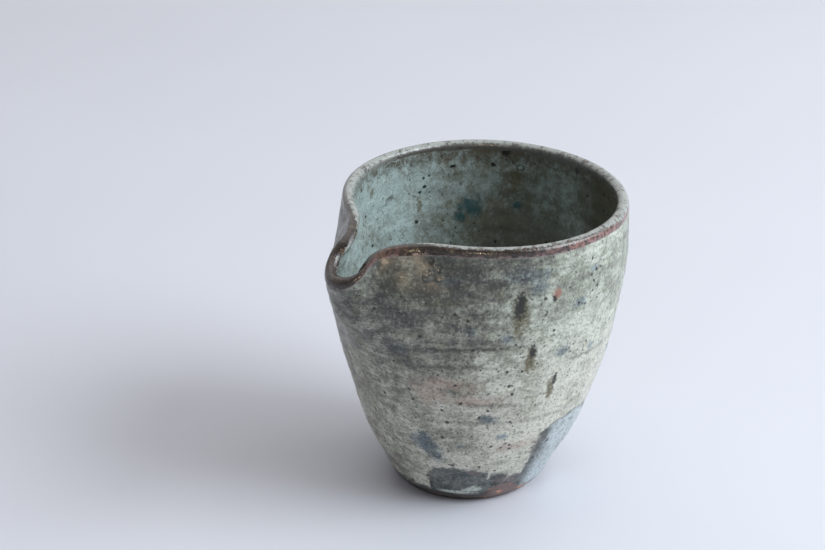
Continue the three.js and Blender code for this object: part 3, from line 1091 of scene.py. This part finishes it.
def lip_look():
    look = Look("iron-brown lip")
    brown = look.mix(look.span(look.noise(1.4, 4.0, 0.75), 0.46, 0.68), LIP_DEEP, LIP_BROWN)
    ochre = look.span(look.noise(2.6, 4.0, 0.7), 0.54, 0.66, 0.0, 0.45)
    brown = look.mix(ochre, brown, LIP_OCHRE)
    # Copper-pink on the lip: partly its own colour, partly painted highlight.
    rosy_and_highlight = look.times(look.mark("copper_and_highlight"), look.span(look.noise(1.8, 4.0, 0.7), 0.36, 0.62))
    brown = look.mix(look.times(rosy_and_highlight, look.span(look.mark("turn"), 1.0, 0.2)), brown, LIP_COPPER_AND_HIGHLIGHT)
    blotches = look.noise(2.6, 5.0, 0.75)
    pale = look.mix(look.span(blotches, 0.5, 0.62, 0.0, 0.9), LIP_PALE, LIP_MOTTLE)
    over = look.sum(look.mark("warm"), look.from_noise(look.noise(1.2, 4.0, 0.7), -0.3, 0.3))
    base = look.mix(look.span(over, -0.16, 0.16), brown, pale)
    low = look.sum(look.mark("above"), look.span(look.noise(2.0, 3.0, 0.6), 0.34, 0.66, -0.35, 0.45))
    base = look.mix(look.span(low, 0.45, 0.1, 0.0, 0.5), base, BEAD_PINK)
    inner_edge = look.span(look.sum(look.mark("turn"), look.times(blotches, 1.6)), 3.0, 3.5)
    base = look.mix(look.times(look.times(inner_edge, look.mark("far")), 0.85), base, LIP_MOTTLE)
    rough = look.from_noise(look.noise(1.2, 3.0), 0.08, 0.22)
    return look.coat(base, rough, look.bump(look.noise(1.3, 4.0, 0.65), 0.22), LIP_IOR)


def clay_look():
    look = Look("bare iron-bearing clay")
    mottled = look.noise(4.0, 5.0, 0.7)
    dark = look.mix(look.span(mottled, 0.5, 0.75), CLAY_DARK, CLAY_BROWN)
    pinker_clay = look.mix(look.span(mottled, 0.36, 0.62), CLAY_BROWN, CLAY_PALE)
    # Bright copper patches on the pink clay: painted glints.
    pinker_clay = look.mix(look.span(look.noise(3.0, 4.0, 0.7), 0.54, 0.64), pinker_clay, CLAY_COPPER_GLINT)
    base = look.mix(look.mark("warm"), dark, pinker_clay)
    base = look.mix(look.specks(1.6, 0.4, 0.5), base, IRON)
    rough = look.from_noise(look.noise(2.0, 3.0), 0.3, 0.6)
    grit = look.bump(look.noise(0.6, 4.0, 0.7), 0.12)
    return look.coat(base, rough, look.bump(look.noise(2.5, 3.0), 0.15, grit))


# The table, the light and the camera.


TABLE_RADIUS = 3.0
TABLE_SIDES = 96
TABLE_COLOUR = srgb(230, 232, 242)
TABLE_TINT = srgb(232, 234, 244)
TABLE_ROUGHNESS = 0.6


def add_table():
    """A wide round table top."""
    mesh = bpy.data.meshes.new("table_top")
    turns = np.linspace(0, 2 * np.pi, TABLE_SIDES, endpoint=False)
    rim = [(TABLE_RADIUS * math.cos(t), TABLE_RADIUS * math.sin(t), 0) for t in turns]
    mesh.from_pydata(rim, [], [list(range(len(rim)))])
    look = Look("pale table")
    tint = look.from_noise(look.noise(180, 2.0), 0, 1)
    mesh.materials.append(look.coat(look.mix(tint, TABLE_COLOUR, TABLE_TINT), TABLE_ROUGHNESS))
    add_object("table_top", mesh)


CAMERA_PLACE = Vector((0.4065, -0.4043, 0.3236))
CAMERA_AZIMUTH = math.radians(46.94)
CAMERA_PITCH = math.radians(24)
SENSOR_WIDTH = 36
LENS = 87.27


def add_camera():
    """The camera at the place and angle from which the bowl was photographed."""
    data = bpy.data.cameras.new("camera")
    data.sensor_width = SENSOR_WIDTH
    data.lens = LENS
    camera = add_object("camera", data)
    camera.location = CAMERA_PLACE
    camera.rotation_euler = (math.pi / 2 - CAMERA_PITCH, 0, CAMERA_AZIMUTH)
    bpy.context.scene.camera = camera


def add_lamp(name, from_right_deg, elevation_deg, distance, width, height, watts, colour):
    """A soft flat lamp aimed at the bowl. Its direction is counted from the camera's, to the right."""
    turn = CAMERA_AZIMUTH + math.radians(from_right_deg)
    tilt = math.radians(elevation_deg)
    level = math.cos(tilt)
    towards = Vector((math.sin(turn) * level, -math.cos(turn) * level, math.sin(tilt)))
    data = bpy.data.lights.new(name, "AREA")
    data.shape = "RECTANGLE"
    data.size = width
    data.size_y = height
    data.energy = watts
    data.color = colour
    lamp = add_object(name, data)
    middle = Vector((0, 0, HEIGHT * MM / 2))
    lamp.location = middle + towards * distance
    lamp.rotation_mode = "QUATERNION"
    lamp.rotation_quaternion = towards.to_track_quat("Z", "Y")
    return lamp


ROOM_BRIGHTEST = (-0.86, 0.5, 0.08)  # towards the pale wall behind the bowl
ROOM_COLOUR = (0.98, 0.98, 1.0, 1)
ROOM_SEEN = (-0.2, 0.85, 0.34, 0.85)  # least and most facing it, least and most strength
ROOM_FILL = 0.22  # strength with which the room lights things


def add_room():
    """The room: dim where it lights things, and pale on the far side where it is seen or mirrored."""
    world = bpy.data.worlds.new("soft room")
    world.use_nodes = True
    nodes = world.node_tree.nodes
    links = world.node_tree.links
    background = nodes["Background"]
    background.inputs["Color"].default_value = ROOM_COLOUR
    facing = nodes.new("ShaderNodeVectorMath")
    facing.operation = "DOT_PRODUCT"
    facing.inputs[1].default_value = ROOM_BRIGHTEST
    links.new(nodes.new("ShaderNodeTexCoord").outputs["Generated"], facing.inputs[0])
    seen = nodes.new("ShaderNodeMapRange")
    links.new(facing.outputs["Value"], seen.inputs[0])
    for place, number in enumerate(ROOM_SEEN, 1):
        seen.inputs[place].default_value = number
    lit = nodes.new("ShaderNodeMix")
    links.new(nodes.new("ShaderNodeLightPath").outputs["Is Diffuse Ray"], lit.inputs[0])
    links.new(seen.outputs[0], lit.inputs[2])
    lit.inputs[3].default_value = ROOM_FILL
    links.new(lit.outputs[0], background.inputs["Strength"])
    bpy.context.scene.world = world


DAYLIGHT = (0.9, 0.96, 1.0)
CEILING_LIGHT = (1.0, 0.97, 0.93)
BULB_LIGHT = (1.0, 0.76, 0.5)


def add_light():
    """A window and a pale curtain on the right, the ceiling, and a warm bulb that only glints."""
    # Degrees to the right of the camera, degrees up, distance, width, height, watts and colour.
    add_lamp("window", 70, 38, 1.5, 0.8, 0.9, 12.5, DAYLIGHT)
    add_lamp("curtain", 80, 33, 1.6, 2.2, 0.9, 15, DAYLIGHT)
    add_lamp("ceiling", 180, 78, 1.5, 1.6, 1.6, 6.4, CEILING_LIGHT)
    bulb = add_lamp("bulb", -8, 20, 1.0, 0.06, 0.06, 1.6, BULB_LIGHT)
    bulb.visible_diffuse = False


bpy.context.scene.view_settings.view_transform = "Standard"
add_camera()
add_light()
add_room()
add_table()
dress(clay_body(), "clay_body", clay_look())
dress(outer_coat(), "outer_glaze", outer_look())
dress(lip_coat(), "lip_glaze", lip_look())
dress(inner_coat(), "inner_glaze", inner_look())
